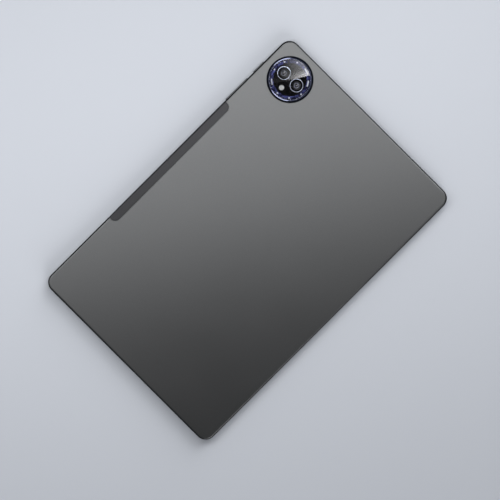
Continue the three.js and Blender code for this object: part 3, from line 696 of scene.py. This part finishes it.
mark_count = 9
first_mark = -18
bar_half, dot_half = 9.5, 2.6
mark_radius, mark_width = 13.55 * MM, 1.05 * MM
ink_low, ink_high = plate_high[2] + 0.01 * MM, plate_high[2] + 0.05 * MM
for k in range(mark_count):
    turn = first_mark + k * 360 / mark_count
    half = bar_half if k % 4 == 0 else dot_half
    pad = arc_pad("index_mark_%d" % (k + 1), ring_middle, mark_radius, mark_width, turn - half, turn + half,
                  ink_low, ink_high)
    pad.data.materials.append(mark_ink)
    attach(pad, "housing")

trim_bore = 3.4 * MM
trim_round = 0.2 * MM
trim_flat = 0.42 * MM
funnel_start = np.array([0.5 * MM, 0.1 * MM])
funnel_step = np.array([0.2 * MM, 0.14 * MM])
for node_name, middle in zip(("main_lens_trim", "second_lens_trim"), trim_middles):
    low, high, size = size_of(node_name)
    outer = size[0] / 2
    steps = np.arange(6)
    funnel = np.column_stack([
        np.repeat(outer - funnel_start[0] - funnel_step[0] * steps, 2),
        high[2] - funnel_start[1] - np.repeat(funnel_step[1] * steps, 2) - np.tile([0.0, funnel_step[1]], 6),
    ])
    trim = turned(node_name + "_turned", np.concatenate([
        [(trim_bore, low[2]), (outer - chamfer, low[2]), (outer, low[2] + chamfer)],
        arc((outer - trim_round, high[2] - trim_round), trim_round, 0, 90, 5),
        [(outer - trim_flat, high[2])],
        funnel,
        [(trim_bore, high[2] - MM)],
    ]), middle, 96, ring=True)
    trim_metal = finish(node_name + "_metal", (190, 196, 208), 0.14, 1.0)
    lip_start = outer - funnel_start[0] + trim_round / 4
    lip_share = between(trim_metal, distance_from(trim_metal, middle), lip_start, outer + MM)
    wire(trim_metal, "Base Color", blend_colors(trim_metal, lip_share, (9, 10, 14), (190, 196, 208)))
    wire(trim_metal, "Roughness", speckle(trim_metal, 3000, 0.1, 0.24))
    trim.data.materials.append(trim_metal)
    place(trim, "housing", "lens_trim", node_name)

flash_low, flash_high, flash_size = size_of("flash_diffuser")
flash_radius = flash_size[0] / 2
groove = np.arange(5)
first_groove, groove_pitch = 0.82 * flash_radius, 0.16 * flash_radius
groove_depth = 0.06 * MM
grooves = np.column_stack([
    np.repeat(first_groove - groove_pitch * groove, 2),
    flash_high[2] - np.tile([0.0, groove_depth], len(groove)),
])
flash = turned("flash_lens_moulded", np.concatenate([
    [(0, flash_low[2]), (flash_radius, flash_low[2]), (flash_radius, flash_high[2] - chamfer)],
    [(flash_radius - chamfer, flash_high[2])],
    grooves,
    [(0, flash_high[2] - groove_depth / 3)],
]), flash_middle, 64)
flash_white = finish("flash_lens_plastic", (240, 240, 236), 0.25)
mottle(flash_white, 2500, (236, 235, 226), (250, 250, 248))
flash.data.materials.append(flash_white)
place(flash, "housing", "flash_lens", "flash_diffuser")

# ---- Keys ----
# Two anodised aluminium keys stand out of slots in the side beside the aerial window. A flange behind
# the wall keeps each one in, and its pads press the switches: one for power, two for the rocking volume.

key_metal = finish("key_metal", (92, 93, 95), 0.3, 1.0)
mottle(key_metal, 5200, (88, 89, 91), (97, 98, 100))
wire(key_metal, "Roughness", speckle(key_metal, 60, 0.27, 0.33))
flange_gap, flange_thick, flange_higher = 0.25 * MM, 0.5 * MM, 0.1 * MM
overlap = 0.1 * MM
pad_size = 1.2 * MM
power_pads = (0,)
volume_pads = (-7 * MM, 7 * MM)
key_edge = 0.3 * MM
for node_name, key_name, body, pads_at in (("power_button", "power_key_cap", "power_key", power_pads),
                                           ("volume_button", "volume_key_cap", "volume_key", volume_pads)):
    low, high, size = size_of(node_name)
    middle = (low[0] + high[0]) / 2
    face = high[1]
    flange_back = low[1] + flange_gap
    flange_front = flange_back + flange_thick
    head = lying(key_name, size[0] - 2 * key_flange, key_height, middle, edge_level, np.concatenate([
        [(0, flange_front - overlap)],
        arc((key_edge, face - key_edge), -key_edge, 0, -90, 6),
        [(2 * key_edge, face), (3 * key_edge, face)],
    ]), "Y", steps=10)
    flange = lying("key_flange", size[0], key_height + 2 * flange_higher, middle, edge_level,
                   [(0, flange_back), (0, flange_front)], "Y")
    pads = [lying("key_pad", pad_size, pad_size, middle + offset, edge_level,
                  [(0, low[1]), (0, flange_back + overlap)], "Y") for offset in pads_at]
    cap = carved(head, [flange, *pads], "UNION")
    cap.data.materials.append(key_metal)
    place(cap, body, "anodised_grey", node_name)

# ---- Card tray ----
# A machined drawer for two cards, its face flush with the short side and a pinhole beside the cards.
# A pin pushed through the hole works a lever inside, which drives the drawer out.

tray_low, tray_high, tray_size = size_of("card_tray")
tray_middle = (tray_low[1] + tray_high[1]) / 2
tray_face = tray_high[0]
face_edge = 0.15 * MM
face_thick = 1.1 * MM
carrier_length, carrier_width, carrier_corner = 28.6 * MM, 13.2 * MM, 0.8 * MM
carrier_low, carrier_high = 4.4 * MM, 5.2 * MM
pocket_floor, pocket_open = 4.6 * MM, 6 * MM
pinhole_size = 0.9 * MM
pinhole_y, pinhole_z = -22.9 * MM, 4.5 * MM
through_face = tray_face + np.array([-2 * MM, MM])
tray_plate = lying("card_drawer", tray_size[1], tray_size[2], tray_middle, edge_level, np.concatenate([
    [(0, tray_face - face_thick)],
    arc((face_edge, tray_face - face_edge), -face_edge, 0, -90, 4),
    [(3 * face_edge, tray_face)],
]), "X", steps=10)
carrier = column("tray_carrier", carrier_length, carrier_width, carrier_corner, carrier_low, carrier_high,
                 (tray_low[0] + carrier_length / 2, tray_middle), 6)
drawer = carved(tray_plate, [carrier], "UNION")
pocket_sizes = np.array([[11.2, 11.6], [12.0, 9.2]]) * MM
pocket_middles = np.array([105.6, 118.6]) * MM
pockets = [column("card_pocket", *size, carrier_corner, pocket_floor, pocket_open, (along_x, tray_middle), 6)
           for size, along_x in zip(pocket_sizes, pocket_middles)]
pinhole = lying("pinhole", pinhole_size, pinhole_size, pinhole_y, pinhole_z,
                [(0, x) for x in through_face], "X")
drawer = carved(drawer, [*pockets, pinhole])
drawer.data.materials.append(anodised)
place(drawer, "tray", "anodised_grey", "card_tray")

# ---- Charging port ----
# A drawn steel shell stands in its slot in the middle of the short side. A moulded plug closes its back
# and carries the thin tongue, with gold contacts on both faces.

shell_low, shell_high, shell_size = size_of("usb_port_shell")
shell_wall = 0.3 * MM
mouth = shell_high[0]
mouth_round = 0.1 * MM
shell = lying("port_shell_drawn", shell_size[1], shell_size[2], 0.0, edge_level, [
    (0, shell_low[0]), (0, mouth - mouth_round), (mouth_round, mouth), (shell_wall - mouth_round, mouth),
    (shell_wall, mouth - mouth_round), (shell_wall, shell_low[0]),
], "X", ring=True, steps=12)
shell.data.materials.append(tinned)
place(shell, "housing", "contact_steel", "usb_port_shell")

tongue_low, tongue_high, tongue_size = size_of("usb_port_tongue")
plug_depth = 1.5 * MM
blade_width, blade_height, blade_tip = 6.7 * MM, 0.7 * MM, 0.15 * MM
contact_step, contact_gap = 0.25 * MM, 0.13 * MM
contact_start, contact_end = 122.5 * MM, tongue_high[0] - 0.4 * MM
plug = lying("port_tongue_moulded", tongue_size[1], tongue_size[2], 0.0, edge_level,
             [(0, tongue_low[0]), (0, tongue_low[0] + plug_depth)], "X", steps=10)
blade = lying("tongue_blade", blade_width, blade_height, 0.0, edge_level,
              [(0, tongue_low[0] + MM), (0, tongue_high[0] - blade_tip), (blade_tip, tongue_high[0])], "X")
tongue = carved(plug, [blade], "UNION")
tongue_black = finish("tongue_plastic", (22, 23, 26), 0.55)
tongue_axes = node(tongue_black, "SeparateXYZ", Vector=here(tongue_black))
pitch = node(tongue_black, "Math", {"operation": "PINGPONG"}, at0=tongue_axes.outputs["Y"], at1=contact_step)
stripe = node(tongue_black, "Math", {"operation": "GREATER_THAN"}, at0=pitch.outputs[0], at1=contact_gap)
reach_out = between(tongue_black, tongue_axes.outputs["X"], contact_start, contact_end)
contact = node(tongue_black, "Math", {"operation": "MULTIPLY"}, at0=stripe.outputs[0], at1=reach_out)
wire(tongue_black, "Base Color", blend_colors(tongue_black, contact.outputs[0], (22, 23, 26), (206, 164, 84)))
wire(tongue_black, "Metallic", contact.outputs[0])
wire(tongue_black, "Roughness", speckle(tongue_black, 2000, 0.4, 0.6))
tongue.data.materials.append(tongue_black)
place(tongue, "housing", "tongue_plastic", "usb_port_tongue")

# ---- Studio ----
# A pale floor, a bright soft panel over the camera end, a weaker one opposite, a faint card between them
# that the camera glass mirrors, two wide room lights, and a long lens that looks straight down.

floor_half = 60.0
floor_corners = [(-floor_half, -floor_half, 0), (floor_half, -floor_half, 0),
                 (floor_half, floor_half, 0), (-floor_half, floor_half, 0)]
floor_mesh = bpy.data.meshes.new("floor")
floor_mesh.from_pydata(floor_corners, [], [(0, 1, 2, 3)])
floor = bpy.data.objects.new("floor", floor_mesh)
bpy.context.scene.collection.objects.link(floor)
floor_paint = finish("floor_paint", (203, 207, 215), 0.8)
wire(floor_paint, "Roughness", speckle(floor_paint, 30, 0.75, 0.85))
floor_mesh.materials.append(floor_paint)

world = bpy.data.worlds.new("studio")
bpy.context.scene.world = world
world.use_nodes = True
tree = world.node_tree
background = tree.nodes["Background"]
spot = tree.nodes.new("ShaderNodeTexCoord")
split = tree.nodes.new("ShaderNodeSeparateXYZ")
rise = tree.nodes.new("ShaderNodeMapRange")
tree.links.new(spot.outputs["Generated"], split.inputs["Vector"])
tree.links.new(split.outputs["Z"], rise.inputs["Value"])
for socket, value in (("From Min", 0.0), ("From Max", 0.75), ("To Min", 0.6), ("To Max", 0.03)):
    rise.inputs[socket].default_value = value
tree.links.new(rise.outputs["Result"], background.inputs["Strength"])
background.inputs["Color"].default_value = (0.93, 0.96, 1.0, 1)

lean = math.radians(57.5)


def soft_light(name, forward, across, height, width, length, radiance):
    """A rectangular panel parallel to the floor at that height, forward along the leaning line and across
    it, as bright as its radiance: its power is radiance times pi times its area."""
    data = bpy.data.lights.new(name, "AREA")
    data.shape = "RECTANGLE"
    data.size = width
    data.size_y = length
    data.energy = radiance * math.pi * width * length
    lamp = bpy.data.objects.new(name, data)
    lamp.location = (forward * math.cos(lean) - across * math.sin(lean),
                     forward * math.sin(lean) + across * math.cos(lean), height)
    lamp.rotation_euler = (0, 0, lean)
    lamp.visible_camera = False
    bpy.context.scene.collection.objects.link(lamp)


panel_height = 0.4
gap_end = 0.143
gap_start = 0.104
far_width, near_width = 0.09, 0.084
panel_length = 1.0
soft_light("panel_far", gap_end + far_width / 2, 0, panel_height, far_width, panel_length, 4.0)
soft_light("panel_near", gap_start - near_width / 2, 0, panel_height, near_width, panel_length, 2.1)

card_start = 0.1232
card_fade = 0.0068
card_left, card_right = -0.030, -0.095
card_dim, card_full = -0.0593, -0.0769
forward = np.array([card_start, card_start, gap_end, gap_end])
across = np.array([card_left, card_right, card_right, card_left])
card_points = np.column_stack([forward * math.cos(lean) - across * math.sin(lean),
                               forward * math.sin(lean) + across * math.cos(lean),
                               np.full(4, panel_height)]).tolist()
card_mesh = bpy.data.meshes.new("gap_card")
card_mesh.from_pydata(card_points, [], [(0, 1, 2, 3)])
card = bpy.data.objects.new("gap_card", card_mesh)
card.visible_camera = False
card.visible_shadow = False
bpy.context.scene.collection.objects.link(card)
card_glow = finish("gap_card_glow", (0, 0, 0), 1.0, Specular_IOR_Level=0.0)
turned_point = node(card_glow, "Mapping", Vector=here(card_glow), Rotation=(0.0, 0.0, -lean))
card_axes = node(card_glow, "SeparateXYZ", Vector=turned_point.outputs["Vector"])
rising = node(card_glow, "MapRange", {"interpolation_type": "SMOOTHSTEP"}, Value=card_axes.outputs["X"],
              From_Min=card_start, From_Max=card_start + card_fade, To_Min=1.0, To_Max=0.33)
sideways = node(card_glow, "MapRange", Value=card_axes.outputs["Y"], From_Min=card_full, From_Max=card_dim,
                To_Min=1.0, To_Max=0.03)
glow = node(card_glow, "Math", {"operation": "MULTIPLY"}, at0=rising.outputs[0], at1=sideways.outputs[0])
strength = node(card_glow, "Math", {"operation": "MULTIPLY"}, at0=glow.outputs[0], at1=5.4)
card_glow.node_tree.nodes["Principled BSDF"].inputs["Emission Color"].default_value = (1, 1, 1, 1)
wire(card_glow, "Emission Strength", strength.outputs[0])
card_mesh.materials.append(card_glow)

room_tilt = math.radians(66)
for number, heading in enumerate((105, 340)):
    room = bpy.data.lights.new("room_light_%d" % number, "SUN")
    room.energy = 1.5
    room.angle = math.radians(45)
    lamp = bpy.data.objects.new(room.name, room)
    lamp.rotation_euler = (room_tilt, 0, math.radians(heading))
    bpy.context.scene.collection.objects.link(lamp)

view_width = 0.36875
view_middle = (-0.00376, -0.00636)
camera_data = bpy.data.cameras.new("camera")
camera_data.lens = 300
camera_data.sensor_width = 36
camera_data.clip_end = 200
camera = bpy.data.objects.new("camera", camera_data)
camera.location = (*view_middle, view_width * camera_data.lens / camera_data.sensor_width)
camera.rotation_euler = (0, 0, -math.pi / 4)
bpy.context.scene.collection.objects.link(camera)
bpy.context.scene.camera = camera
bpy.context.scene.view_settings.view_transform = "Standard"
